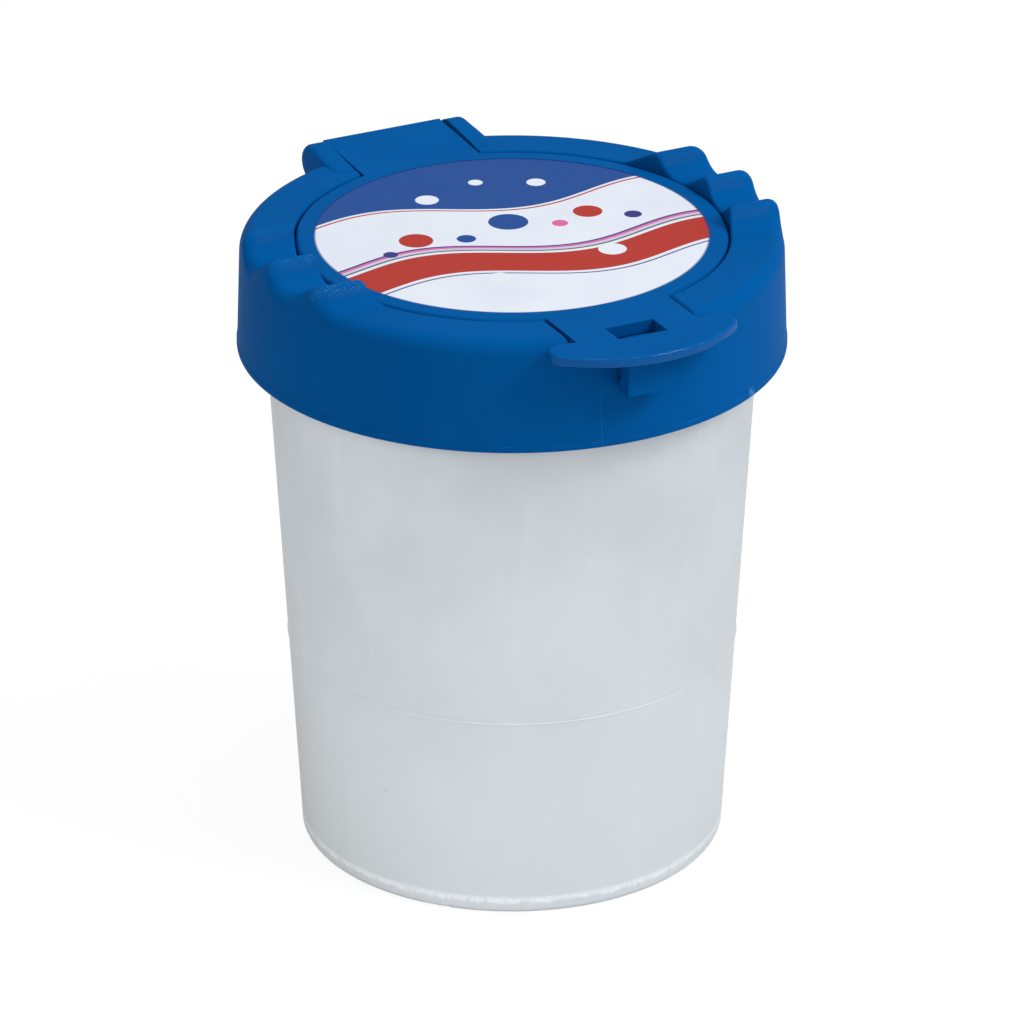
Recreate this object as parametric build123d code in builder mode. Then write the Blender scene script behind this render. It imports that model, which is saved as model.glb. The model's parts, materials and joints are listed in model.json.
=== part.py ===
from build123d import *
import os
from math import cos, hypot, radians, sin, sqrt, tan

# Paint cup with a screwed lid. The origin is the centre of the cup's foot, +Z is up,
# the thumb tab points to -Y and the hinge to +Y. All lengths are in millimetres.

# Heights that set the whole cup
total_height = 90.0
ridge_height = 2.6
skirt_height = 15.4
funnel_depth = 38.0
fill_line_height = 29.5

# Cup
cup_taper = 4.1
cup_wall = 1.3
cup_floor = 1.4
foot_height = 0.8
foot_width = 2.4
base_edge_radius = 0.9
cup_inner_radius = 1.8
cup_lip_radius = 0.35
fill_line_bead = 0.12

# Collar, the ring that screws on the cup
skirt_radius = 37.0
skirt_taper = 0.55
skirt_wall = 1.6
lip_height = 1.0
lip_proud = 0.1
shoulder_depth = 1.8
shoulder_radius = 2.2
rim_width = 7.15
well_wall = 1.5
rim_wall = 1.6
plate_thickness = 1.6
well_ledge = 3.2
retaining_bead = 0.45
rim_edge_radius = 0.7

# Brush rests, the three waves across each side of the collar
ridge_pitch = 10.6
ridge_offset = 0.2
ridge_front_angle = 60.0
ridge_back_angle = 31.0
crest_radius = 1.1
valley_radius = 4.0
toe_radius = 4.0

# Hinge at the back
hinge_overhang = 1.7
hinge_depth = 1.8
leaf_width = 17.6
ear_thickness = 3.4
ear_radius = 2.9
ear_edge_radius = 1.0
ear_foot_depth = 9.0
knuckle_radius = 2.3
trunnion_radius = 1.25
trunnion_length = 2.4
heel_reach = 2.4
heel_radius = 0.6
leaf_rise = 0.6

# Flap with its thumb tab and latch
flap_thickness = 1.6
flap_edge_radius = 0.5
neck_width = 17.6
tab_thickness = 1.4
tab_width = 27.0
tab_length = 7.3
tab_front_radius = 19.5
tab_corner_radius = 2.0
tab_heel_radius = 2.4
tab_edge_radius = 0.5
tab_under_radius = 0.3
window_width = 7.0
window_length = 4.0
window_setback = 0.5
hook_width = 7.0
hook_thickness = 2.2
hook_height = 7.1
hook_foot_length = 1.0
hook_foot_height = 1.6
catch_width = 6.0
catch_proud = 0.45
catch_height = 1.2
plug_depth = 3.4
plug_wall = 1.3
plug_bead = 0.8
label_margin = 2.5
label_thickness = 0.2
label_recess = 0.25

# Spill funnel and the two soft rings
funnel_wall = 1.2
funnel_lip_radius = 0.4
throat_radius = 9.0
spigot_wall = 0.9
seal_thickness = 1.2
seal_inset = 0.8
flap_seal_width = 1.3
flap_seal_height = 1.3

# Clearances
disc_gap = 0.3
disc_lift = 0.2
hinge_side_gap = 0.35
knuckle_gap = 0.3
trunnion_gap = 0.05
seat_gap = 0.05
insert_gap = 0.2
soft_gap = 0.3
screw_gap = 1.65
latch_gap = 0.15
cut_overrun = 3.0

# Levels from the top down
lid_top = total_height - ridge_height
skirt_bottom = lid_top - skirt_height
flap_underside = lid_top - flap_thickness
well_floor = flap_underside - disc_lift
plate_underside = well_floor - plate_thickness
flange_underside = plate_underside - funnel_wall
cup_rim = flange_underside - seal_thickness
funnel_tip = plate_underside - funnel_depth
floor_top = foot_height + cup_floor
hinge_level = lid_top - hinge_depth
neck_level = skirt_bottom + lip_height
shoulder_level = total_height - shoulder_depth
blank_top = shoulder_level + shoulder_radius

# Radii and half widths worked out from the sizes above
wall_radius = skirt_radius - lip_proud
wall_top_radius = wall_radius - skirt_taper
skirt_inner_low = wall_radius - skirt_wall
skirt_inner_high = wall_top_radius - skirt_wall
flange_radius = skirt_inner_high - insert_gap
cup_neck_radius = skirt_inner_high - screw_gap
cup_base_radius = cup_neck_radius - cup_taper
well_radius = wall_top_radius - rim_width
mouth_radius = well_radius - well_ledge
funnel_bore_radius = mouth_radius - insert_gap - spigot_wall
disc_radius = well_radius - disc_gap
label_radius = disc_radius - label_margin
hinge_reach = wall_top_radius + hinge_overhang
tab_back_radius = wall_top_radius + disc_gap
tab_reach = tab_back_radius + tab_length
channel_half = leaf_width / 2 + hinge_side_gap
notch_half = neck_width / 2 + hinge_side_gap
plug_radius = funnel_bore_radius - soft_gap - flap_seal_width
neck_root = label_radius + 2 * label_thickness
neck_end = tab_back_radius + tab_edge_radius
ear_root = (wall_radius + well_radius) / 2
ear_outer_half = channel_half + ear_thickness
seal_edge_radius = flap_seal_width / 4

# Blank of the collar before the brush rests are cut
blank_far = skirt_radius + cut_overrun
blank_radius = wall_top_radius - shoulder_radius
bead_level = flange_underside - plug_bead
edge_shares = (0, 0.5, 1)

# Latch: the hook's foot passes outside the catch with the latch gap and holds below it
wall_slope = skirt_taper / (shoulder_level - neck_level)
hook_bottom = lid_top - hook_height
catch_bottom = hook_bottom + hook_foot_height + latch_gap
catch_wall_radius = wall_radius - wall_slope * (catch_bottom - neck_level)
catch_root = catch_wall_radius - skirt_wall / 2
catch_reach = catch_wall_radius + catch_proud
hook_inner = catch_reach + latch_gap + hook_foot_length

# Plug groove, cone and cup draft
groove_bottom = flap_underside - plug_depth + plug_bead
groove_top = groove_bottom + flap_seal_height + 2 * seat_gap
cone_slope = (funnel_bore_radius - throat_radius) / (flange_underside - funnel_tip)
cone_wall = funnel_wall * sqrt(1 + cone_slope**2)
draft = (cup_neck_radius - cup_base_radius) / neck_level
fill_line_radius = cup_base_radius + draft * fill_line_height


def radius_at(edge, share):
    """Distance from the cup's axis to the point at a share of an edge's length."""
    point = edge @ share
    return hypot(point.X, point.Y)


def ridge_corners():
    """Crests, valleys and end toes of the brush rests in the YZ plane, before rounding."""
    front = radians(ridge_front_angle)
    back = radians(ridge_back_angle)
    rise = ridge_pitch / (1 / tan(front) + 1 / tan(back))
    corner = cos((front + back) / 2)
    spread = cos((front - back) / 2) / corner - 1
    lean = sin((front - back) / 2) / corner
    apex = total_height + crest_radius * spread
    first = ridge_offset - ridge_pitch - crest_radius * lean
    crests = [(first + number * ridge_pitch, apex) for number in range(3)]
    valleys = [(place - rise / tan(front), apex - rise) for place, _ in crests[1:]]
    front_toe = (first - (apex - lid_top) / tan(front), lid_top)
    back_toe = (crests[-1][0] + (apex - lid_top) / tan(back), lid_top)
    return crests, valleys, [front_toe, back_toe]


def above_ridges(drop):
    """Sketch of all that lies above the brush rests, lowered by the given amount."""
    crests, valleys, toes = ridge_corners()
    ceiling = blank_top + cut_overrun
    line = [(-blank_far, lid_top), toes[0], crests[0], valleys[0], crests[1], valleys[1], crests[2], toes[1]]
    line.append((blank_far, lid_top))
    with BuildSketch(Plane.YZ) as above:
        with BuildLine():
            Polyline(*[(y, z - drop) for y, z in line], (blank_far, ceiling), (-blank_far, ceiling), close=True)
        make_face()
        for corners, radius in ((crests, crest_radius), (valleys, valley_radius), (toes, toe_radius)):
            places = [y for y, _ in corners]
            fillet(above.vertices().filter_by(lambda v: min(abs(v.X - y) for y in places) < seat_gap), radius)
    return above.sketch


# Cup: a tapered, frosted beaker on a foot ring, with a raised fill line
with BuildPart() as cup:
    with BuildSketch(Plane.XZ):
        with BuildLine():
            Polyline(
                (0, foot_height),
                (cup_base_radius - foot_width, foot_height),
                (cup_base_radius - foot_width, 0),
                (cup_base_radius, 0),
                (cup_neck_radius, neck_level),
                (cup_neck_radius, cup_rim),
                (cup_neck_radius - cup_wall, cup_rim),
                (cup_neck_radius - cup_wall, neck_level),
                (cup_base_radius - cup_wall + draft * floor_top, floor_top),
                (0, floor_top),
                close=True,
            )
        make_face()
    revolve(axis=Axis.Z)
    circles = cup.edges().filter_by(GeomType.CIRCLE)
    fillet(circles.group_by(Axis.Z)[0].sort_by(SortBy.RADIUS)[-1], base_edge_radius)
    circles = cup.edges().filter_by(GeomType.CIRCLE)
    fillet(circles.filter_by_position(Axis.Z, floor_top - seat_gap, floor_top + seat_gap), cup_inner_radius)
    fillet(cup.edges().filter_by(GeomType.CIRCLE).group_by(Axis.Z)[-1], cup_lip_radius)
    with BuildSketch(Plane.XZ):
        with Locations((fill_line_radius, fill_line_height)):
            Circle(fill_line_bead)
    revolve(axis=Axis.Z)

# Space between the skirt and the well, which follows the brush rests one wall below them
with BuildPart() as rim_hollow:
    with BuildSketch(Plane.XY.offset(plate_underside)):
        Circle(flange_radius)
        Circle(well_radius + well_wall, mode=Mode.SUBTRACT)
        Rectangle(2 * ear_outer_half, 2 * skirt_radius, mode=Mode.SUBTRACT)
    extrude(amount=blank_top - plate_underside)
    extrude(above_ridges(rim_wall), amount=blank_far, both=True, mode=Mode.SUBTRACT)

# Ear: one of the two cheeks that hold the flap's trunnions
with BuildPart() as ear:
    with BuildSketch(Plane.YZ.offset(channel_half)) as ear_outline:
        with BuildLine():
            Polyline(
                (well_radius, well_floor),
                (well_radius, lid_top),
                (ear_root, hinge_level + ear_radius),
                (ear_root, hinge_level - ear_foot_depth),
                close=True,
            )
        make_face()
        with Locations((hinge_reach, hinge_level)):
            Circle(ear_radius)
        make_hull(ear_outline.edges())
    extrude(amount=ear_thickness)
    outer_face = ear.faces().sort_by(Axis.X)[-1]
    fillet(outer_face.edges().filter_by(lambda e: e.center().Y > ear_root + seat_gap), ear_edge_radius)

# Collar: skirt, rim with the brush rests, well for the flap, hinge ears and catch
with BuildPart() as collar:
    with BuildSketch(Plane.YZ):
        with BuildLine():
            Polyline(
                (0, blank_top),
                (0, skirt_bottom),
                (-skirt_radius, skirt_bottom),
                (-skirt_radius, neck_level),
                (-wall_radius, neck_level + lip_proud),
                (-wall_top_radius, shoulder_level),
            )
            TangentArc((-wall_top_radius, shoulder_level), (-blank_radius, blank_top), tangent=(0, 1))
            Line((-blank_radius, blank_top), (0, blank_top))
        make_face()
    revolve(axis=Axis.Z)
    extrude(above_ridges(0), amount=blank_far, both=True, mode=Mode.SUBTRACT)
    high_edges = collar.edges().filter_by(lambda e: e.center().Z > lid_top - seat_gap)
    rim_line = high_edges.filter_by(lambda e: min(radius_at(e, share) for share in edge_shares) > ear_root)
    fillet(rim_line, rim_edge_radius)
    add(ear.part)
    mirror(ear.part, about=Plane.YZ)
    # Inside of the skirt, with the bead that holds the funnel's flange against the plate
    with BuildSketch(Plane.XZ):
        with BuildLine():
            Polyline(
                (0, skirt_bottom),
                (skirt_inner_low, skirt_bottom),
                (skirt_inner_high, bead_level - retaining_bead),
                (skirt_inner_high - retaining_bead, bead_level),
                (skirt_inner_high - retaining_bead, flange_underside - seat_gap),
                (skirt_inner_high, flange_underside - seat_gap),
                (skirt_inner_high, plate_underside),
                (0, plate_underside),
                close=True,
            )
        make_face()
    revolve(axis=Axis.Z, mode=Mode.SUBTRACT)
    add(rim_hollow.part, mode=Mode.SUBTRACT)
    # Well for the flap and the mouth in its floor
    with BuildSketch(Plane.XY.offset(plate_underside)):
        Circle(mouth_radius)
    extrude(amount=well_floor - plate_underside, mode=Mode.SUBTRACT)
    with BuildSketch(Plane.XY.offset(well_floor)):
        Circle(well_radius)
        with Locations((0, -skirt_radius)):
            Rectangle(2 * notch_half, 2 * skirt_radius)
        with Locations((0, blank_far / 2)):
            Rectangle(2 * channel_half, blank_far)
    extrude(amount=blank_top - well_floor, mode=Mode.SUBTRACT)
    # Room for the knuckle and the blind holes for the trunnions
    with BuildSketch(Plane.YZ):
        with Locations((hinge_reach, hinge_level)):
            Circle(knuckle_radius + knuckle_gap)
    extrude(amount=channel_half, both=True, mode=Mode.SUBTRACT)
    with BuildSketch(Plane.YZ):
        with Locations((hinge_reach, hinge_level)):
            Circle(trunnion_radius + trunnion_gap)
    extrude(amount=leaf_width / 2 + trunnion_length + hinge_side_gap, both=True, mode=Mode.SUBTRACT)
    # Catch under which the hook's foot holds
    with BuildSketch(Plane.YZ):
        with BuildLine():
            Polyline(
                (-catch_root, catch_bottom),
                (-catch_reach, catch_bottom),
                (-catch_reach, catch_bottom + catch_height / 2),
                (-catch_root, catch_bottom + catch_height + catch_proud),
                close=True,
            )
        make_face()
    extrude(amount=catch_width / 2, both=True)

# Flap: disc, neck, thumb tab with latch hook, hinge leaf and the plug below
with BuildPart() as flap:
    with BuildSketch(Plane.XY.offset(flap_underside)):
        Circle(disc_radius)
    extrude(amount=flap_thickness)
    fillet(flap.edges().group_by(Axis.Z)[-1], flap_edge_radius)
    with BuildSketch(Plane.XY.offset(lid_top - tab_thickness)) as tab_outline:
        with Locations((0, tab_front_radius - tab_reach)):
            Circle(tab_front_radius)
        Rectangle(tab_width, 2 * tab_reach, mode=Mode.INTERSECT)
        Circle(tab_back_radius, mode=Mode.SUBTRACT)
        corners = tab_outline.vertices().group_by(Axis.Y)
        fillet(corners[0], tab_corner_radius)
        fillet(tab_outline.vertices().group_by(Axis.Y)[-1], tab_heel_radius)
    extrude(amount=tab_thickness)
    tab_edges = flap.edges().filter_by(lambda e: e.center().Y < -ear_root)
    fillet(tab_edges.group_by(Axis.Z)[-1], tab_edge_radius)
    tab_edges = flap.edges().filter_by(lambda e: e.center().Y < -ear_root)
    fillet(tab_edges.group_by(Axis.Z)[0], tab_under_radius)
    with BuildSketch(Plane.XY.offset(flap_underside)):
        with Locations((0, -(neck_root + neck_end) / 2)):
            Rectangle(neck_width, neck_end - neck_root)
    extrude(amount=flap_thickness)
    # Hinge leaf with its knuckle and the two trunnions
    with BuildSketch(Plane.YZ) as leaf:
        with BuildLine():
            Polyline(
                (neck_root, flap_underside),
                (neck_root, lid_top),
                (disc_radius, lid_top),
                (hinge_reach + heel_reach, lid_top + leaf_rise),
                (hinge_reach + knuckle_radius, hinge_level),
                (hinge_reach, hinge_level),
                (hinge_reach, flap_underside),
                close=True,
            )
        make_face()
        with Locations((hinge_reach, hinge_level)):
            Circle(knuckle_radius)
        fillet(leaf.vertices().group_by(Axis.Y)[-1], heel_radius)
    extrude(amount=leaf_width / 2, both=True)
    with BuildSketch(Plane.YZ):
        with Locations((hinge_reach, hinge_level)):
            Circle(trunnion_radius)
    extrude(amount=leaf_width / 2 + trunnion_length, both=True)
    # Latch hook with its foot turned in below the catch
    with BuildSketch(Plane.YZ):
        with BuildLine():
            Polyline(
                (-hook_inner, lid_top - tab_thickness + tab_under_radius),
                (-hook_inner, hook_bottom + hook_foot_height),
                (hook_foot_length - hook_inner, hook_bottom + hook_foot_height - hook_foot_length),
                (hook_foot_length - hook_inner, hook_bottom),
                (-hook_inner - hook_thickness, hook_bottom),
                (-hook_inner - hook_thickness, lid_top - tab_thickness + tab_under_radius),
                close=True,
            )
        make_face()
    extrude(amount=hook_width / 2, both=True)
    # Window above the hook
    with BuildSketch(Plane.XY.offset(lid_top)):
        with Locations((0, window_length / 2 + window_setback - hook_inner)):
            Rectangle(window_width, window_length)
    extrude(amount=-2 * tab_thickness, mode=Mode.SUBTRACT)
    # Plug with the groove for its soft ring
    with BuildSketch(Plane.XZ):
        with BuildLine():
            Polyline(
                (plug_radius - plug_wall, flap_underside),
                (plug_radius - plug_wall, flap_underside - plug_depth),
                (plug_radius + plug_bead / 2, flap_underside - plug_depth),
                (plug_radius + plug_bead, groove_bottom - plug_bead / 2),
                (plug_radius + plug_bead, groove_bottom),
                (plug_radius, groove_bottom),
                (plug_radius, groove_top),
                (plug_radius + plug_bead, groove_top),
                (plug_radius + plug_bead, flap_underside),
                close=True,
            )
        make_face()
    revolve(axis=Axis.Z)
    # Recess for the label
    with BuildSketch(Plane.XY.offset(lid_top)):
        Circle(label_radius + seat_gap)
    extrude(amount=-label_recess, mode=Mode.SUBTRACT)

# Label, a thin disc a little below the flap's face
with BuildPart() as label:
    with BuildSketch(Plane.XY.offset(lid_top - label_recess)):
        Circle(label_radius)
    extrude(amount=label_thickness)

# Spill funnel: spigot, flange and cone in one moulding
with BuildPart() as spill_funnel:
    with BuildSketch(Plane.XZ):
        with BuildLine():
            Polyline(
                (flange_radius, flange_underside),
                (flange_radius, plate_underside),
                (mouth_radius - insert_gap, plate_underside),
                (mouth_radius - insert_gap, well_floor - insert_gap),
                (funnel_bore_radius, well_floor - insert_gap),
                (funnel_bore_radius, flange_underside),
                (throat_radius, funnel_tip),
                (throat_radius + cone_wall, funnel_tip),
                (funnel_bore_radius + cone_wall, flange_underside),
                close=True,
            )
        make_face()
    revolve(axis=Axis.Z)
    tip_edges = spill_funnel.edges().filter_by(GeomType.CIRCLE).group_by(Axis.Z)[0]
    fillet(tip_edges, funnel_lip_radius)
    top_edges = spill_funnel.edges().filter_by(GeomType.CIRCLE).group_by(Axis.Z)[-1]
    fillet(top_edges.sort_by(SortBy.RADIUS)[0], funnel_lip_radius)

# Lid seal, a flat soft ring between the cup's rim and the funnel's flange
with BuildPart() as lid_seal:
    with BuildSketch(Plane.XY.offset(cup_rim)):
        Circle(cup_neck_radius + seal_inset)
        Circle(cup_neck_radius - cup_wall - seal_inset, mode=Mode.SUBTRACT)
    extrude(amount=seal_thickness)

# Flap seal, the soft ring in the plug's groove
with BuildPart() as flap_seal:
    with BuildSketch(Plane.XZ):
        with Locations((plug_radius + (seat_gap + flap_seal_width) / 2, (groove_bottom + groove_top) / 2)):
            RectangleRounded(flap_seal_width - seat_gap, flap_seal_height, seal_edge_radius)
    revolve(axis=Axis.Z)

cup.part.label = "cup"
collar.part.label = "collar"
flap.part.label = "flap"
label.part.label = "label"
spill_funnel.part.label = "spill_funnel"
lid_seal.part.label = "lid_seal"
flap_seal.part.label = "flap_seal"

os.makedirs("parts", exist_ok=True)
export_step(cup.part, "parts/cup.step")
export_step(collar.part, "parts/collar.step")
export_step(flap.part, "parts/flap.step")
export_step(label.part, "parts/label.step")
export_step(spill_funnel.part, "parts/spill_funnel.step")
export_step(lid_seal.part, "parts/lid_seal.step")
export_step(flap_seal.part, "parts/flap_seal.step")
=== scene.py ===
# %% [markdown]
# # A paint cup with a lid
# The object is a frosted plastic cup for brush water. A blue collar screws on it, a round flap with a
# thumb tab closes its mouth, and three waves on each side of the rim keep a brush from rolling away.
# The packed model gives the frame: which pieces there are, how large they are and how they move.

# %% Load the frame
import json
import bmesh
import bpy
import numpy as np
from math import cos, pi, radians, sin
from mathutils import Matrix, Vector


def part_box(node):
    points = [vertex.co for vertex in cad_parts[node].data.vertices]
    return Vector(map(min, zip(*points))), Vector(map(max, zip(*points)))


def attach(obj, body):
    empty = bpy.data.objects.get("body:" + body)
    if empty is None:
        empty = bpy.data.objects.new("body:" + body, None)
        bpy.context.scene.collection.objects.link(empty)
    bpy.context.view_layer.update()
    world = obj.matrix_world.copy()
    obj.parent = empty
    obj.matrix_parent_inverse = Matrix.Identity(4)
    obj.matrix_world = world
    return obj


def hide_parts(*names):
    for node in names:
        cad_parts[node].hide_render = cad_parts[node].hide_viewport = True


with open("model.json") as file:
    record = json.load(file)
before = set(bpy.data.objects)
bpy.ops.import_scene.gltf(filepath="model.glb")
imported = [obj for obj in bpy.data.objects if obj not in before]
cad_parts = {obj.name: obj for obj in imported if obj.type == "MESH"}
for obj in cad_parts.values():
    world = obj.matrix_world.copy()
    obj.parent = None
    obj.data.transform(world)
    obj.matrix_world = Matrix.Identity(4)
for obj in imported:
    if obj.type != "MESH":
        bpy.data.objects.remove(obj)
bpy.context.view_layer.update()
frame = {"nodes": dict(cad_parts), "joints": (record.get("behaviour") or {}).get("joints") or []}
nodes = frame["nodes"]
print("nodes:", sorted(nodes))

# %% [markdown]
# ## Lengths
# Blender counts in metres here, and a cup is easier to write in millimetres. So the cup's lengths below are
# in millimetres, and one factor turns them into metres when a mesh or a lamp is made. The corners of the
# packed nodes give the main ones, so that the dressed pieces can't drift away from them.

# %% Lengths
MM = 0.001
low, high = [np.array(corner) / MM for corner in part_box("collar")]
skirt_radius, skirt_bottom, crest_top = high[0], low[2], high[2]
label_drop, well_depth, plate_depth = 0.05, 1.8, 3.37
lid_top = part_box("label")[1][2] / MM + label_drop
well_floor, plate_under = lid_top - well_depth, lid_top - plate_depth
lip_proud, top_inset = 0.1, 0.65
wall_low, wall_high = skirt_radius - lip_proud, skirt_radius - top_inset
rim_width, mouth_inset = 7.15, 10.35
well_radius, mouth_radius = wall_high - rim_width, wall_high - mouth_inset
wall_inner, notch_half, notch_reach, knuckle_room = 34.8, 9.15, 36.6, 2.6
hinge_joint = next(joint for joint in frame["joints"] if joint["name"] == "flap_hinge")
hinge = np.array(hinge_joint["pos_m"][1:]) / MM
print("skirt", round(skirt_radius, 2), "lid top", round(lid_top, 2))
print("crests", round(crest_top, 2), "hinge", np.round(hinge, 2))

# %% [markdown]
# ## From a grid of points to a piece
# Every shape here is a surface with two parameters: rows of points, each row with the same number of
# points. The faces between them follow from counting, so a few lines of numpy make the mesh of any shape.
# Points that fall together, at a pole or at a seam, are merged afterwards, which closes the mesh.

# %% Make a piece from grids
def grid_faces(rows, columns, start=0):
    """Four corners a face, between neighbouring rows and columns; the columns close into a ring."""
    row, column = np.meshgrid(np.arange(rows - 1), np.arange(columns), indexing="ij")
    after = (column + 1) % columns
    this_row, next_row = row * columns, (row + 1) * columns
    corners = [this_row + column, this_row + after, next_row + after, next_row + column]
    return start + np.stack(corners, -1).reshape(-1, 4)


def piece_from_grids(name, grids, body, sharp=35.0, merged=0.002, flattened=0.001):
    """A mesh object in metres from grids of points in millimetres, each shaped (rows, columns, 3)."""
    points = np.concatenate([grid.reshape(-1, 3) for grid in grids]) * MM
    starts = np.cumsum([0] + [grid.shape[0] * grid.shape[1] for grid in grids])
    faces = np.concatenate([grid_faces(*grid.shape[:2], start) for grid, start in zip(grids, starts)])
    mesh = bpy.data.meshes.new(name)
    mesh.from_pydata(points.tolist(), [], faces.tolist())
    work = bmesh.new()
    work.from_mesh(mesh)
    bmesh.ops.remove_doubles(work, verts=work.verts, dist=merged * MM)
    bmesh.ops.dissolve_degenerate(work, edges=work.edges, dist=flattened * MM)
    bmesh.ops.recalc_face_normals(work, faces=work.faces)
    open_edges = sum(1 for edge in work.edges if not edge.is_manifold)
    work.to_mesh(mesh)
    work.free()
    mesh.polygons.foreach_set("use_smooth", np.ones(len(mesh.polygons), bool))
    mesh.set_sharp_from_angle(angle=radians(sharp))
    piece = bpy.data.objects.new(name, mesh)
    bpy.context.collection.objects.link(piece)
    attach(piece, body)
    print(name, "has", len(mesh.polygons), "faces and", open_edges, "open edges")
    return piece


print("a grid of 3 rows and 4 columns has", len(grid_faces(3, 4)), "faces")

# %% [markdown]
# ## The collar
# The collar is the piece that takes the most care. Its skirt is plain, but its rim is rounded all the way
# along and carries three waves on each side. The waves are straight ridges along X, while the rim is
# a circle, so no circle or straight line of faces fits both. It could be cut from solids and bevelled, but
# a bevel wider than a wave's crest fails. So the rim is treated as the place where a formula changes sign:
# a point is inside while it is below the waves and within the wall, and where the two limits meet, the
# formula turns a soft corner. Rays from inside the rim find the surface, and the rays are the grid.

# %% A bent line with round corners
def rounded_line(corners, radii, steps=12):
    """A bent line with its corners replaced by arcs that touch both sides, each of its own radius.
    An arc's centre lies on the line that halves the corner, at the radius over the sine of half the
    corner's angle."""
    corners = np.array(corners, float)
    line = [corners[:1]]
    for before, corner, after, radius in zip(corners[:-2], corners[1:-1], corners[2:], radii):
        back = (before - corner) / np.linalg.norm(before - corner)
        on = (after - corner) / np.linalg.norm(after - corner)
        half = np.arccos(np.clip(back @ on, -1, 1)) / 2
        middle = (back + on) / np.linalg.norm(back + on)
        centre = corner + middle * radius / np.sin(half)
        turn = np.linspace(-1, 1, steps) * (pi / 2 - half)
        across = (on - back) / np.linalg.norm(on - back)
        line.append(centre + radius * (np.outer(np.sin(turn), across) - np.outer(np.cos(turn), middle)))
    return np.concatenate([*line, corners[-1:]])


print("a line with one round corner has", len(rounded_line([(0, 0), (4, 0), (4, 4)], [1.0])), "points")

# %% [markdown]
# A wave is steep at its front and gentle at its back. Its slopes and the rounding of its crest say how far
# the sharp corner would stand above the crest, and where. From there the dips and the two toes follow.

# %% The height of the waves
pitch, front_angle, back_angle = 10.6, radians(60), radians(31)
crest_rounding, valley_rounding, toe_rounding = 1.1, 4.0, 4.0
middle_crest, line_end = 0.2, 60
half_difference, half_sum = (front_angle - back_angle) / 2, (front_angle + back_angle) / 2
apex = crest_top + crest_rounding * (cos(half_difference) / cos(half_sum) - 1)
first = middle_crest - pitch - crest_rounding * sin(half_difference) / cos(half_sum)
tops = [(first + number * pitch, apex) for number in range(3)]
drop = pitch / (1 / np.tan(front_angle) + 1 / np.tan(back_angle))
dips = [(place - drop / np.tan(front_angle), apex - drop) for place, _ in tops[1:]]
toes = [(first - (apex - lid_top) / np.tan(front_angle), lid_top),
        (tops[2][0] + (apex - lid_top) / np.tan(back_angle), lid_top)]
wave_corners = [toes[0], tops[0], dips[0], tops[1], dips[1], tops[2], toes[1]]
wave_radii = [toe_rounding, *[crest_rounding, valley_rounding] * 2, crest_rounding, toe_rounding]
wave_line = rounded_line([(-line_end, lid_top), *wave_corners, (line_end, lid_top)], wave_radii)


def wave_height(y):
    """The rim's height over the place along Y: the line of the waves, read between its points."""
    return np.interp(y, wave_line[:, 0], wave_line[:, 1])


on_crest = np.isclose(wave_line[:, 1], wave_line[:, 1].max(), atol=0.01)
print("crests at y", [round(place, 2) for place in wave_line[on_crest, 0]])
print("valleys reach down to", round(float(wave_height(np.linspace(-9, 9, 400)).min()), 2))

# %% [markdown]
# The columns of the grid run outwards. Across the notch for the flap's neck and across the channel for the
# hinge leaf they keep a constant x, so that the side walls there are flat, and further round they turn
# into plain radii. At each side wall two columns stand on the same line, one high and one low.

# %% The columns of the collar's grid
edge_angle = np.degrees(np.arcsin(notch_half / notch_reach))
near_edge = edge_angle + np.array([0.0, 0.03, 0.1, 0.22, 0.4, 0.62, 0.9])
plain_start, plain_end, waves_start, wave_step, turning_width = edge_angle + 1.6, 58.0, 58.4, 0.36, 22.0
plain_part = np.linspace(plain_start, plain_end, 26)
waves_part = np.arange(waves_start, 90.01, wave_step)
half_turn = np.concatenate([near_edge, plain_part, waves_part])
across_notch = np.linspace(0, edge_angle, 12)
quarter = np.concatenate([across_notch, half_turn])
is_low = np.concatenate([np.ones(len(across_notch), bool), np.zeros(len(half_turn), bool)])
side_angle = np.concatenate([-quarter[::-1][:-1], quarter])
side_low = np.concatenate([is_low[::-1][:-1], is_low])
angle = radians(1) * np.concatenate([side_angle, side_angle[::-1]])
low_column = np.concatenate([side_low, side_low[::-1]])
side = np.concatenate([-np.ones(len(side_angle)), np.ones(len(side_angle))])
bend = np.clip((np.abs(np.degrees(angle)) - edge_angle) / turning_width, 0, 1)
bend = 1 - bend * bend * (3 - 2 * bend)
print(len(angle), "columns, of which", int(low_column.sum()), "run across notch and channel")


def column_point(reach, level):
    """Points of all columns at a distance from the axis and a level. The sine of a column's angle is its
    own where the column is a radius, and its own times the notch's reach over the distance where the
    column keeps its x."""
    sine = np.sin(angle) * (1 - bend + bend * notch_reach / reach)
    level = np.broadcast_to(level, reach.shape)
    return np.stack([reach * sine, side * reach * np.sqrt(1 - sine * sine), level], -1)


# %% [markdown]
# The rounded meeting of two limits works like this: each limit is a distance, below zero inside. As long as
# one of them is clearly the larger, it alone counts. Only where both are within one radius of zero do they
# form a circle of that radius. The same sum is used again for the edge of the well. The edge of the notch
# is a quarter circle, taken off the height of the waves.

# %% The surface of the rim
def rounded_meeting(one, other, radius):
    """The larger of two distances, with a round of that radius where both are close to zero:
    the length of (one + radius, other + radius) above zero, plus the larger below zero, less the radius."""
    one, other = one + radius, other + radius
    return np.hypot(np.maximum(one, 0), np.maximum(other, 0)) + np.minimum(np.maximum(one, other), 0) - radius


def wall_at(level, lip_height=1, lean_height=15.2):
    """The skirt's outer radius at a level: it leans in steadily from the lip to the rim."""
    share = np.clip((level - skirt_bottom - lip_height) / lean_height, 0, 1)
    return wall_low + (wall_high - wall_low) * share


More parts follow.
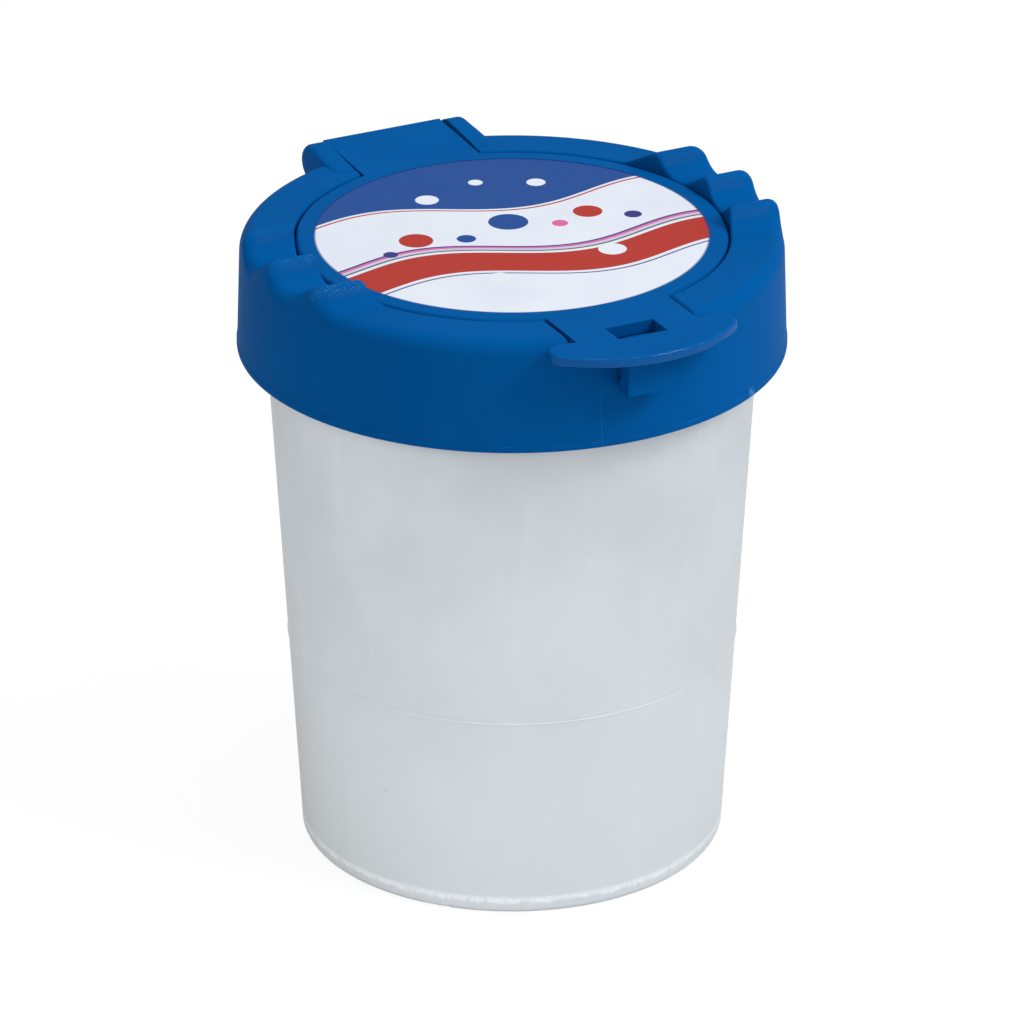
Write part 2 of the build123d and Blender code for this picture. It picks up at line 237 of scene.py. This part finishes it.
def outside_rim(points, edge_round=1.9, low_share=0.3, well_round=0.45, notch_round=0.5, end_zone=20):
    """How far points are outside the collar's rim: below zero inside it. The height above the waves meets
    the distance beyond the wall in a round, and both meet the distance into the well in a smaller one.
    Across notch and channel the well's floor takes the waves' place, and in the channel at the back
    a round room is kept free for the hinge leaf."""
    x, y, z = points[..., 0], points[..., 1], points[..., 2]
    reach = np.hypot(x, y)
    from_notch = np.clip(np.abs(x) - notch_half, 0, notch_round)
    softened = notch_round - np.sqrt(notch_round ** 2 - (notch_round - from_notch) ** 2)
    top = wave_height(y) - np.where(y < -end_zone, softened, 0)
    above = z - np.where(low_column, well_floor, top)
    body = rounded_meeting(above, reach - wall_at(z), edge_round * np.where(low_column, low_share, 1))
    body = np.where(low_column, body, rounded_meeting(body, well_radius - reach, well_round))
    room = knuckle_room - np.hypot(y - hinge[0], z - hinge[1])
    return np.where(low_column & (y > end_zone), np.maximum(body, room), body)


print("the wall leans in by", round(float(wall_at(skirt_bottom) - wall_at(crest_top)), 2), "mm")

# %% [markdown]
# Each ray starts at a core inside the rim. Halving finds where it leaves the rim: a point halfway between
# a near one inside and a far one outside takes the place of one of them, 40 times over. Steeper than 50
# degrees the rays stand closer together, because the rounded edges and the waves are there.

# %% Rays find the rim
core_reach, core_depth, nearest, farthest = 32.7, 7.5, 1.0, 13.5
halvings, least_turn = 40, 0.004
core = np.array([core_reach, lid_top - core_depth])
fans = [np.linspace(*fan)[:-1] for fan in ((0, 50, 10), (50, 76, 24), (76, 106, 24))]
turns = np.radians(np.concatenate([*fans, np.linspace(106, 120, 20)]))
last = np.arctan2(well_floor - core[1], well_radius - core[0])
turns = turns[turns < last - least_turn]
turns = np.append(turns, last)[:, None]
near, far = np.full((len(turns), len(angle)), nearest), np.full((len(turns), len(angle)), farthest)


def on_rays(length):
    """Points on all rays at a length from the core, one ray for each turn and column."""
    return column_point(core[0] + length * np.cos(turns), core[1] + length * np.sin(turns))


for _ in range(halvings):
    middle = (near + far) / 2
    inside = outside_rim(on_rays(middle)) < 0
    near, far = np.where(inside, middle, near), np.where(inside, far, middle)
rim = on_rays(near)
print("the rim has", rim.shape[0], "rows; it reaches", round(float(rim[..., 2].max()), 2), "mm up")

# %% [markdown]
# Below the rim the section is plain: down the skirt, round its lip, up the inside past the bead that holds
# the funnel, along the underside of the plate and round the mouth. It ends where the rim's rows began, so
# the grid closes both ways, like the skin of a ring.

# %% The skirt and the plate
section_top, lip_shoulder, lip_edge, lip_under, lip_inner = 79.9, 73.06, 72.95, 72.0, 35.3
bead_radius, bead_foot, bead_under, bead_top = 34.35, 81.55, 82.0, 82.72
skirt_outside = [(wall_at(section_top), section_top), (wall_low, lip_shoulder), (skirt_radius, lip_edge),
                 (skirt_radius, lip_under)]
skirt_inside = [(lip_inner, lip_under), (wall_inner, bead_foot), (bead_radius, bead_under),
                (bead_radius, bead_top), (wall_inner, bead_top), (wall_inner, plate_under)]
plate = [(mouth_radius, plate_under), (mouth_radius, well_floor), (well_radius, well_floor)]
section_radii = [0.1, 0.06, 0.35, 0.3, 0.1, 0.1, 0.1, 0.05, 0.05, 0.05, 0.35]
section = rounded_line(skirt_outside + skirt_inside + plate, section_radii, 6)
plain_rows = np.stack([column_point(np.full(angle.shape, reach), level) for reach, level in section])
shell = np.concatenate([rim[::-1], plain_rows])
shell = np.concatenate([shell, shell[:1]])
print("the shell's grid has", shell.shape[0], "rows and", shell.shape[1], "columns")

# %% [markdown]
# Two ears at the back carry the flap's trunnions in blind holes. An ear slopes up from the well, goes round
# the hinge axis and comes down to the skirt. Its inner corners are hidden in the collar's own wall and
# plate, because further in they would cut the cup, the lid seal and the funnel. Seen from the hinge axis the
# outline never turns back, so it is written as one reach for every direction, and shrinking that reach makes
# the rounded outer edge.

# %% The outline of a hinge ear
ear_gap, ear_thickness, ear_top, ear_back = 0.05, 2.95, 2.7, 2.89
slope_rise, slope_short, plate_cover, foot_drop = 0.1, 0.4, 0.8, 8.04
ear_inner = notch_half + ear_gap
slope_start, slope_end = (well_radius, lid_top + slope_rise), (hinge[0] - slope_short, hinge[1] + ear_top)
top_line = rounded_line([(well_radius, well_floor), slope_start, slope_end], [0.3], 6)
bend_down = np.radians(np.linspace(90, -48, 60))
round_end = hinge + np.stack([ear_back * np.cos(bend_down), ear_top * np.sin(bend_down)], -1)
in_wall, in_plate, foot_level = 34.0, plate_under + plate_cover, hinge[1] - foot_drop
hidden_corners = [[in_wall, foot_level], [in_wall, in_plate], [well_radius, in_plate],
                  [well_radius, well_floor]]
ear_corners = np.concatenate([top_line, round_end, hidden_corners])
sides = [np.linspace(start, end, 60)[:-1] for start, end in zip(ear_corners[:-1], ear_corners[1:])]
outline = np.concatenate(sides)
bearing = np.arctan2(outline[:, 1] - hinge[1], outline[:, 0] - hinge[0])
order = np.argsort(bearing)
away = np.linalg.norm(outline - hinge, axis=1)
bearings = np.linspace(-pi, pi, 181)[:-1]
reaches = np.interp(bearings, bearing[order], away[order], period=2 * pi)[:, None]
around = np.stack([np.cos(bearings), np.sin(bearings)], -1)
print("the ear reaches", round(float(reaches.max()), 2), "mm from the hinge axis")

# %% The two hinge ears
trunnion_hole, hole_depth, outer_round = 1.3, 2.7, 1.0


def ear_row(x, reach):
    """One row of the ear's grid: the place along x, and the reach from the hinge axis in every direction."""
    return np.column_stack([np.full(len(around), x), hinge + around * reach])


round_steps = np.radians(np.linspace(0, 90, 7))
round_start = ear_inner + ear_thickness - outer_round
hole_end = ear_inner + hole_depth
hole_rows = [(hole_end, 0.0), (hole_end, trunnion_hole), (ear_inner, trunnion_hole)]
edge_rows = [(round_start + outer_round * sin(step), reaches - outer_round * (1 - cos(step)))
             for step in round_steps]
ear_rows = [*hole_rows, (ear_inner, reaches), *edge_rows, (ear_inner + ear_thickness, 0.0)]
ear = np.stack([ear_row(x, reach) for x, reach in ear_rows])
other_ear = ear * np.array([-1.0, 1.0, 1.0])
print("an ear has", len(ear), "rows")

# %% [markdown]
# The catch is a small wedge on the skirt's front, under the tab. The flap's hook slips over its slope and
# rests below its flat side. Its two ends are fans of faces to the middle of the wedge.

# %% The latch's catch
catch_half = 3.0
wedge = np.array([[-35.9, 82.05], [-37.02, 82.05], [-37.02, 82.65], [-35.9, 83.7]])
wedge_middle = wedge.mean(axis=0)
catch_rows = ((-catch_half, 0.0), (-catch_half, 1.0), (catch_half, 1.0), (catch_half, 0.0))
catch = np.stack([np.column_stack([np.full(4, x), wedge_middle + (wedge - wedge_middle) * grown])
                  for x, grown in catch_rows])
print("the catch is", 2 * catch_half, "mm wide")

# %% [markdown]
# The shell, the two ears and the catch are four closed surfaces that overlap. On the real lid they are one
# moulding, so they go into one mesh, which takes the place of the packed collar.

# %% The whole collar
collar = piece_from_grids("collar_shell", [shell, ear, other_ear, catch], "collar")
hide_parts("collar")

# %% [markdown]
# ## The threads
# Both threads are one shape: a low ridge carried along a helix, which fades in and out at its ends. Its
# profile is a hill over the thread's width. The ridge on the cup points outwards, the collar's inwards.

# %% Threads
def thread_ridge(root, crest, start_level, turns, lead=3.5, width=1.5, start_angle=0.0):
    """A closed ridge along a helix. Along it the height grows and fades as a sine over the first and last
    sixth. Across it the profile goes from the root out to the crest over a hill of that width, and back
    inside the wall."""
    along = np.linspace(0, 1, 260)[:, None]
    across = np.array([-0.5, -0.3, -0.14, 0.14, 0.3, 0.5, 0.3, -0.3])[None, :]
    hill = np.array([0.0, 0.62, 1.0, 1.0, 0.62, 0.0, -0.3, -0.3])[None, :]
    fade = np.sin(np.clip(np.minimum(along, 1 - along) * 6, 0, 1) * pi / 2)
    turn = start_angle + 2 * pi * turns * along
    reach = root + (crest - root) * hill * fade
    level = start_level + lead * turns * along + width * across * fade
    return np.stack([reach * np.cos(turn), reach * np.sin(turn), level + 0 * reach], -1)


cup_ridge = thread_ridge(root=33.05, crest=33.95, start_level=74.9, turns=1.25)
cup_thread = piece_from_grids("cup_thread", [cup_ridge], "cup")
collar_ridge = thread_ridge(root=34.95, crest=34.2, start_level=73.4, turns=1.5, start_angle=2.2)
collar_thread = piece_from_grids("collar_thread", [collar_ridge], "collar")

# %% [markdown]
# ## Shader maths as Python
# A procedural material is a sum of masks and noises. Drawn as nodes it is hard to read, so a small class
# wraps a socket and lets Python's own signs add the Math nodes: 1 - mask, mask * 0.5 and so on.

# %% A socket that Python can calculate with
class Wire:
    """One output socket. The signs + - * add Math nodes, also with a number on the left."""

    def __init__(self, recipe, socket):
        self.recipe, self.socket = recipe, socket

    def math(self, operation, *others):
        """Adds a Math node of that operation, with this wire as its first input."""
        return self.recipe.node("ShaderNodeMath", {"operation": operation}, [self, *others])

    def __add__(self, other):
        return self.math("ADD", other)

    def __sub__(self, other):
        return self.math("SUBTRACT", other)

    def __rsub__(self, other):
        return self.recipe.node("ShaderNodeMath", {"operation": "SUBTRACT"}, [other, self])

    def __mul__(self, other):
        return self.math("MULTIPLY", other)

    __radd__ = __add__
    __rmul__ = __mul__


print("a wire knows", [name for name in vars(Wire) if name not in vars(object)])

# %% [markdown]
# A recipe is one material. Its node method takes a node's type, then its settings, which have to be set
# first, and then the values or wires that go into its sockets. Bands, discs and spots are the masks that
# the finishes below are made of, and all of them count in millimetres on the piece itself.

# %% A material as a recipe
class Recipe:
    """A material whose nodes are made by one method."""

    def __init__(self, name):
        self.material = bpy.data.materials.new(name)
        self.material.use_nodes = True
        self.tree = self.material.node_tree
        self.tree.nodes.clear()
        self.point = self.node("ShaderNodeVectorMath", {"operation": "SCALE"},
                               {0: self.node("ShaderNodeTexCoord", output="Object"), "Scale": 1 / MM})
        self.x, self.y, self.z = [self.node("ShaderNodeSeparateXYZ", None, [self.point], axis)
                                  for axis in "XYZ"]

    def node(self, kind, settings=None, inputs=(), output=0):
        """Adds a node of that kind and returns its output as a wire, or None if it has no output."""
        made = self.tree.nodes.new(kind)
        for name, value in (settings or {}).items():
            setattr(made, name, value)
        pairs = inputs.items() if isinstance(inputs, dict) else enumerate(inputs)
        for place, value in pairs:
            if isinstance(value, Wire):
                self.tree.links.new(value.socket, made.inputs[place])
            else:
                made.inputs[place].default_value = value
        return Wire(self, made.outputs[output]) if made.outputs else None

    def noise(self, lumps, detail=3.0, roughness=0.5, stretch=(1.0, 1.0, 1.0)):
        """Noise from 0 to 1, with so many lumps to a millimetre. A factor below 1 draws it out along
        that axis."""
        place = self.node("ShaderNodeVectorMath", {"operation": "MULTIPLY"}, [self.point, stretch])
        return self.node("ShaderNodeTexNoise", None,
                         {"Vector": place, "Scale": lumps, "Detail": detail, "Roughness": roughness}, "Fac")

    def step(self, value, low, high):
        """0 at low, 1 at high, and a soft step between them."""
        return self.node("ShaderNodeMapRange", {"interpolation_type": "SMOOTHSTEP"},
                         {"Value": value, "From Min": low, "From Max": high})

    def band(self, value, start, end, soft=0.05):
        """1 between start and end, 0 outside, with soft edges."""
        return self.step(value, start - soft, start + soft) * self.step(value, end + soft, end - soft)

    def disc(self, x, y, radius, soft=0.05):
        """1 within a radius of the point x, y, 0 outside."""
        away = ((self.x - x) * (self.x - x) + (self.y - y) * (self.y - y)).math("SQRT")
        return self.step(away, radius + soft, radius - soft)

    def spot(self, bearing, reach, level, size, soft=0.1):
        """1 within a small ball around a place, which is given by its bearing in degrees, its distance
        from the axis and its level."""
        place = (reach * cos(radians(bearing)), reach * sin(radians(bearing)), level)
        away = self.node("ShaderNodeVectorMath", {"operation": "DISTANCE"}, [self.point, place], "Value")
        return self.step(away, size + soft, size - soft)

    def blend(self, share, under, over):
        """One colour over another by a share from 0 to 1."""
        return self.node("ShaderNodeMix", {"data_type": "RGBA"}, {0: share, 6: under, 7: over}, 2)

    def bump(self, height, depth, strength):
        """Normals for a height from 0 to 1 that stands so many millimetres high."""
        return self.node("ShaderNodeBump", None,
                         {"Height": height, "Distance": depth * MM, "Strength": strength})

    def finish(self, **sockets):
        """Ends the recipe in one plastic surface. Names are the shader's own, with _ for a space."""
        inputs = {name.replace("_", " "): value for name, value in sockets.items()}
        surface = self.node("ShaderNodeBsdfPrincipled", None, inputs)
        self.node("ShaderNodeOutputMaterial", None, {"Surface": surface})
        return self.material


def linear(red, green, blue):
    """A colour as a screen shows it, 0 to 255, turned into the linear values that a shader takes."""
    screen = np.array([red, green, blue]) / 255
    light = np.where(screen <= 0.04045, screen / 12.92, ((screen + 0.055) / 1.055) ** 2.4)
    return (*[float(round(value, 5)) for value in light], 1.0)


print("a mid grey of 128 is", linear(128, 128, 128)[0], "as light")

# %% [markdown]
# ## The blue plastic
# Collar and flap are moulded from one blue polypropylene. It could be one even colour with a gloss, but the
# melt leaves faint clouds and the mould a fine grain. Away from the tab's front edge the photograph shows
# next to no reflection on it, so its mirror share is close to zero, and only that edge gets some gloss. Use
# leaves pale scuffs on the crests, where brushes lie. The two halves of the mould meet in a fine line down
# the skirt: a raised thread of plastic, so it is in the bump, and in the colour as a little paler.

# %% Blue plastic
crest_shift, brushed_width, mould_line_left, mirror_share = 0.75, 1.5, 5.34, 0.006
crest_middle = float(tops[0][0] + crest_shift)


def blue_plastic():
    """Blue polypropylene: clouds in the colour, fine grain, pale scuffs on the crests, the mould's line, and
    a painted highlight along the lip's edge.
    """
    recipe = Recipe("satin_blue_polypropylene")
    x, y, z = recipe.x, recipe.y, recipe.z
    clouds = recipe.noise(0.08, 4.0)
    grain = recipe.noise(6.0, 2.0, 0.6)
    rubbed = recipe.noise(5.5, 4.0, 0.7, (0.45, 1.0, 1.0))
    before_crest = (y - (crest_middle - pitch / 2)).math("WRAP", 0.0, pitch) - pitch / 2
    crest = recipe.band(before_crest, -brushed_width, -0.15, 0.3)
    crest = crest * recipe.step(z, crest_top - 1.9, crest_top - 1.2)
    worn_most = recipe.step(x, 24, -24) * recipe.step(y, 6, -8) * 0.75 + 0.25
    scuffs = recipe.step(rubbed, 0.52, 0.66) * crest * worn_most
    # The lip's top edge is a small raised line in the bump. It is also painted paler in broken stretches, as
    # a painted highlight along the edge.
    lip_ridge_highlight = recipe.band(z, skirt_bottom + 0.86, skirt_bottom + 0.98, 0.06)
    lip_ridge_highlight = lip_ridge_highlight * recipe.step(recipe.noise(0.35, 3.0), 0.46, 0.62)
    mould_line = recipe.band(x + mould_line_left, -0.05, 0.05, 0.06)
    mould_line = mould_line * recipe.step(y, -34, -36) * recipe.step(z, 80.5, 79.0)
    specks = recipe.step(recipe.noise(1.1, 2.0, 0.4), 0.76, 0.80)
    tab_edge = recipe.step(y, -37.5, -38.5) * recipe.band(z, lid_top - 1.3, lid_top - 0.1, 0.06)
    colour = recipe.blend(recipe.step(clouds, 0.3, 0.72), linear(0, 78, 142), linear(0, 81, 147))
    nick = recipe.spot(-58.0, 36.9, 72.8, 0.55, 0.3) * recipe.step(rubbed, 0.44, 0.56)
    colour = recipe.blend(scuffs * 0.38 + nick * 0.7 + specks * 0.08, colour, linear(90, 150, 200))
    colour = recipe.blend(lip_ridge_highlight * 0.3 + mould_line * 0.35, colour, linear(30, 125, 185))
    height = grain * 0.5 + mould_line + lip_ridge_highlight
    return recipe.finish(Base_Color=colour, Roughness=grain * 0.1 + 0.45,
                         Normal=recipe.bump(height, 0.02, 0.3), IOR=1.49, Specular_IOR_Level=mirror_share,
                         Coat_Weight=tab_edge * 0.2 + 0.01, Coat_Roughness=0.06, Coat_IOR=1.49)


blue = blue_plastic()
print("made", blue.name)

# %% [markdown]
# ## The frosted plastic
# The cup is unfilled polypropylene. Light goes into it and comes out softened, so the wall looks milky. Glass
# settings would show the far wall, which the real cup hides, so the light is scattered below the skin
# instead. The fill line is moulded in the packed cup; a trace of paler colour on it and on a broken line
# below it is a painted highlight. Round the foot a paler, uneven band is painted light where the cup's floor
# shows through the wall, and under it a slightly greyer band is painted shade. The wall is also painted
# darker towards the top, as painted shade under the collar.

# %% Frosted plastic
def frosted_plastic():
    """Milky plastic: light scatters in it; soft clouds and faint streaks, with painted light at the floor's
    edge, a painted highlight on the fill line, and painted shade at the foot and towards the top.
    """
    recipe = Recipe("frosted_milky_polypropylene")
    z = recipe.z
    grain = recipe.noise(3.0, 3.0, 0.6)
    milk = recipe.noise(0.045, 3.0)
    streaks = recipe.noise(0.25, 4.0, 0.6, (1.0, 1.0, 0.12))
    ragged = recipe.noise(0.9, 5.0, 0.7)
    outer = recipe.step((recipe.x * recipe.x + recipe.y * recipe.y).math("SQRT"), 28.2, 28.5)
    # Painted light: a paler, ragged band round the foot where the cup's floor shows through the wall.
    cup_floor_painted_light = recipe.band(z + ragged * 1.6, 2.45, 3.3, 0.3) * outer
    cup_floor_painted_light = cup_floor_painted_light * (recipe.step(ragged, 0.35, 0.6) * 0.6 + 0.4)
    # Painted shade: a slightly greyer band at the very foot, below the painted light of the floor.
    foot_painted_shade = recipe.band(z, 0.0, 1.7, 0.3) * outer
    # Painted highlight: a trace of paler colour on the moulded fill line, and on a broken line just below it.
    fill_line_highlight = recipe.band(z, 29.4, 29.6, 0.1) * 0.9
    broken_line_highlight = recipe.band(z, 28.35, 28.5, 0.12) * recipe.step(recipe.noise(0.08, 2.0), 0.45, 0.6)
    fill_line_highlight = fill_line_highlight + broken_line_highlight * 0.6
    speck = recipe.spot(-151.4, 29.95, 16.35, 0.12, 0.08) + recipe.spot(-116.0, 32.1, 66.5, 0.08, 0.08)
    # Painted shade: the wall grows darker from the foot to the top, for the shadow under the collar.
    top_painted_shade = recipe.step(z, 8.0, 74.0)
    colour = recipe.blend(top_painted_shade, linear(179, 183, 186), linear(168, 173, 177))
    colour = recipe.blend(recipe.step(milk, 0.35, 0.65) * 0.4, colour, linear(185, 191, 196))
    colour = recipe.blend(recipe.step(streaks, 0.5, 0.8) * 0.12, colour, linear(200, 205, 209))
    colour = recipe.blend(cup_floor_painted_light * 0.5 + fill_line_highlight * 0.08, colour, linear(222, 226, 229))
    colour = recipe.blend(foot_painted_shade * 0.2, colour, linear(176, 182, 187))
    colour = recipe.blend(speck * 0.6, colour, linear(96, 98, 100))
    return recipe.finish(Base_Color=colour, Roughness=grain * 0.12 + 0.42,
                         Normal=recipe.bump(grain * 0.4, 0.03, 0.3), IOR=1.49, Specular_IOR_Level=0.3,
                         Subsurface_Weight=0.4, Subsurface_Radius=(1.0, 0.95, 0.92), Subsurface_Scale=0.003)


frosted = frosted_plastic()
print("made", frosted.name)

# %% [markdown]
# ## Soft rings and label
# The two rings are a pale elastomer. The label is a smooth printed film: here it carries a plain design of
# its own, paint drops and a wavy band on white, drawn from distances on the label in millimetres.

# %% Soft rings
def soft_ring():
    """A soft pale elastomer with a fine grain."""
    recipe = Recipe("soft_grey_elastomer")
    grain = recipe.noise(2.5, 4.0, 0.6)
    colour = recipe.blend(grain, linear(196, 200, 202), linear(214, 217, 219))
    return recipe.finish(Base_Color=colour, Roughness=grain * 0.15 + 0.55,
                         Normal=recipe.bump(grain, 0.02, 0.3))


soft = soft_ring()
print("made", soft.name)


# %% Printed film
def printed_film():
    """White film with a red wavy band between thin lines, a blue field behind it and a few paint drops, and
    painted shade round its rim.
    """
    recipe = Recipe("printed_label_film")
    wave = recipe.y + (recipe.x * 0.16 + 0.6).math("SINE") * 2.6 + recipe.x * 0.12
    tone = recipe.noise(0.12, 3.0)
    white, red, navy = linear(212, 216, 225), linear(166, 44, 34), linear(46, 46, 118)
    sky, pink = linear(12, 66, 136), linear(204, 92, 150)
    grey, pale = linear(66, 68, 78), linear(184, 184, 204)
    stripes = ((10.1, 10.45, red), (-12.6, -5.8, red), (-5.1, -4.75, grey), (-4.75, -4.1, pale),
               (-4.1, -3.6, pink), (-3.6, -3.2, navy), (-13.6, -13.3, navy))
    drops = ((-12.5, 3.6, 2.3, red), (-6.2, 1.2, 1.3, sky), (1.4, 3.9, 2.7, sky), (7.4, 0.4, 1.1, pink),
             (12.6, 2.4, 2.0, red), (17.6, -1.2, 1.2, navy), (-17.6, 0.8, 1.0, navy),
             (-5.0, 15.6, 1.6, white), (3.6, 18.2, 1.0, white), (11.0, 14.6, 1.3, white),
             (-8.0, -12.4, 1.5, white), (9.6, -10.6, 1.9, white))
    colour = recipe.blend(recipe.step(tone, 0.3, 0.7), white, linear(207, 212, 222))
    colour = recipe.blend(recipe.step(wave, 10.9, 11.0), colour, sky)
    for start, end, ink in stripes:
        colour = recipe.blend(recipe.band(wave, start, end), colour, ink)
    for x, y, radius, ink in drops:
        colour = recipe.blend(recipe.disc(x, y, radius), colour, ink)
    # Painted shade: beyond 26.2 mm the film is tinted part way to navy, for the thin gap round the label's
    # edge.
    colour = recipe.blend((1 - recipe.disc(0.0, 0.0, 26.2)) * 0.6, colour, navy)
    return recipe.finish(Base_Color=colour, Roughness=tone * 0.1 + 0.3,
                         Normal=recipe.bump(recipe.noise(0.4, 2.0), 0.02, 0.25),
                         IOR=1.5, Specular_IOR_Level=0.08)


film = printed_film()
print("made", film.name)

# %% [markdown]
# The packed pieces lose whatever material they came with and get a finish from above. The collar's shell and
# the threads, which are made here, get theirs as well.

# %% Give every piece its finish
finishes = {"collar": blue, "flap": blue, "cup": frosted, "spill_funnel": frosted,
            "lid_seal": soft, "flap_seal": soft, "label": film}
for name, finish in finishes.items():
    nodes[name].data.materials.clear()
    nodes[name].data.materials.append(finish)
for piece, finish in ((collar, blue), (collar_thread, blue), (cup_thread, frosted)):
    piece.data.materials.append(finish)
print("dressed", len(finishes), "nodes")

# %% [markdown]
# ## Camera
# The photograph was taken with a long lens from a little above, with the thumb tab turned to the right. Its
# place was worked out from the ellipses of foot, skirt and rim.

# %% Camera
def look(thing, start, end):
    """Puts a camera or lamp at start, in millimetres, and turns its -Z axis to end, with its top up."""
    start, end = np.array(start, float), np.array(end, float)
    away = (start - end) / np.linalg.norm(start - end)
    right = np.cross([0.0, 0.0, 1.0], away)
    right = right / np.linalg.norm(right)
    matrix = np.eye(4)
    matrix[:3] = np.stack([right, np.cross(away, right), away, start * MM], -1)
    thing.matrix_world = Matrix(matrix)


target = np.array([0.0, 0.0, 46.3])
azimuth, elevation, distance = radians(-26.75), radians(25.22), 925.0
back = np.array([sin(azimuth) * cos(elevation), -cos(azimuth) * cos(elevation), sin(elevation)])
camera_data = bpy.data.cameras.new("camera")
camera_data.sensor_width, camera_data.lens = 36.0, 239.06
camera_data.clip_start, camera_data.clip_end = 0.01, 20.0
camera = bpy.data.objects.new("camera", camera_data)
bpy.context.collection.objects.link(camera)
look(camera, target + distance * back, target)
bpy.context.scene.camera = camera
print("camera", [round(value, 3) for value in camera.matrix_world.translation])

# %% [markdown]
# ## Floor and light
# The photograph has a pure white ground. The floor is a plain pale card that takes the cup's shadow, and to
# the camera most of it shows as white. One large soft lamp stands on the right and one above, so the left
# side falls off as in the photograph, and a narrow lamp is there for the streak on the tab's edge.

# %% Floor
def white_card():
    """Pale card that takes a shadow; a camera sees most of it as plain white."""
    recipe = Recipe("white_card")
    seen = recipe.node("ShaderNodeLightPath", output="Is Camera Ray")
    card = recipe.node("ShaderNodeBsdfDiffuse", None, {"Color": linear(236, 236, 236)})
    glow = recipe.node("ShaderNodeEmission", None, {"Color": (1.0, 1.0, 1.0, 1.0), "Strength": 1.05})
    surface = recipe.node("ShaderNodeMixShader", None, [seen * 0.85, card, glow])
    recipe.node("ShaderNodeOutputMaterial", None, {"Surface": surface})
    return recipe.material


floor_half_m = 3.0
floor_corners = floor_half_m * np.array([[-1, -1, 0], [1, -1, 0], [1, 1, 0], [-1, 1, 0]])
floor_mesh = bpy.data.meshes.new("floor")
floor_mesh.from_pydata(floor_corners.tolist(), [], [(0, 1, 2, 3)])
floor_mesh.materials.append(white_card())
floor = bpy.data.objects.new("floor", floor_mesh)
bpy.context.collection.objects.link(floor)
print("floor", floor.dimensions[0], "m wide")

# %% [markdown]
# Three more lamps light only the cup. Its wall is translucent, so light that enters on one side comes out on
# the other, and the photograph shows it more evenly lit than its lid. Scattering below the skin alone didn't
# give that, so these three stand in for the light that comes through the wall.

# %% Lamps
def softbox(name, start, wide, high, power, lights=None, tint=(1.0, 1.0, 1.0)):
    """A soft rectangular lamp at start that shines on the cup, in millimetres and watts. With lights given,
    a list of pieces, it is masked off from everything else, as a studio does with black card."""
    data = bpy.data.lights.new(name, "AREA")
    data.shape, data.size, data.size_y = "RECTANGLE", wide * MM, high * MM
    data.energy, data.color = power, tint
    lamp = bpy.data.objects.new(name, data)
    bpy.context.collection.objects.link(lamp)
    look(lamp, start, (0.0, 0.0, 60.0))
    if lights:
        masked = bpy.data.collections.new(name + "_lights")
        for piece in lights:
            masked.objects.link(piece)
        lamp.light_linking.receiver_collection = masked


softbox("key_softbox", (520, -620, 820), 400, 400, 6.2, tint=(0.93, 0.975, 1.0))
softbox("top_softbox", (60, -40, 1000), 800, 800, 3.2)
softbox("strip_softbox", (720, -360, 640), 110, 16, 0.6)
cup_only = [nodes["cup"], cup_thread]
softbox("left_cup_fill", (-900, -300, 500), 600, 600, 4.0, cup_only)
softbox("front_cup_fill", (-380, -915, 420), 500, 500, 4.5, cup_only)
softbox("back_cup_fill", (350, 950, 450), 600, 600, 4.0, cup_only)

# %% [markdown]
# The rest of the light comes evenly from all sides, from a pale sky. To the camera the sky is plain white,
# like the photograph's ground.

# %% Sky
sky_strength, white_strength = 0.58, 1.0
world = bpy.data.worlds.new("pale_sky")
bpy.context.scene.world = world
world.use_nodes = True
sky = world.node_tree
sky.nodes.clear()
path = sky.nodes.new("ShaderNodeLightPath")
pick, out = sky.nodes.new("ShaderNodeMixShader"), sky.nodes.new("ShaderNodeOutputWorld")
sky.links.new(path.outputs["Is Camera Ray"], pick.inputs[0])
for socket, strength in ((1, sky_strength), (2, white_strength)):
    background = sky.nodes.new("ShaderNodeBackground")
    background.inputs["Color"].default_value = (1.0, 1.0, 1.0, 1.0)
    background.inputs["Strength"].default_value = strength
    sky.links.new(background.outputs[0], pick.inputs[socket])
sky.links.new(pick.outputs[0], out.inputs[0])
bpy.context.scene.view_settings.view_transform = "Standard"
print("the sky gives", sky_strength, "as light and", white_strength, "to the camera")

# %% [markdown]
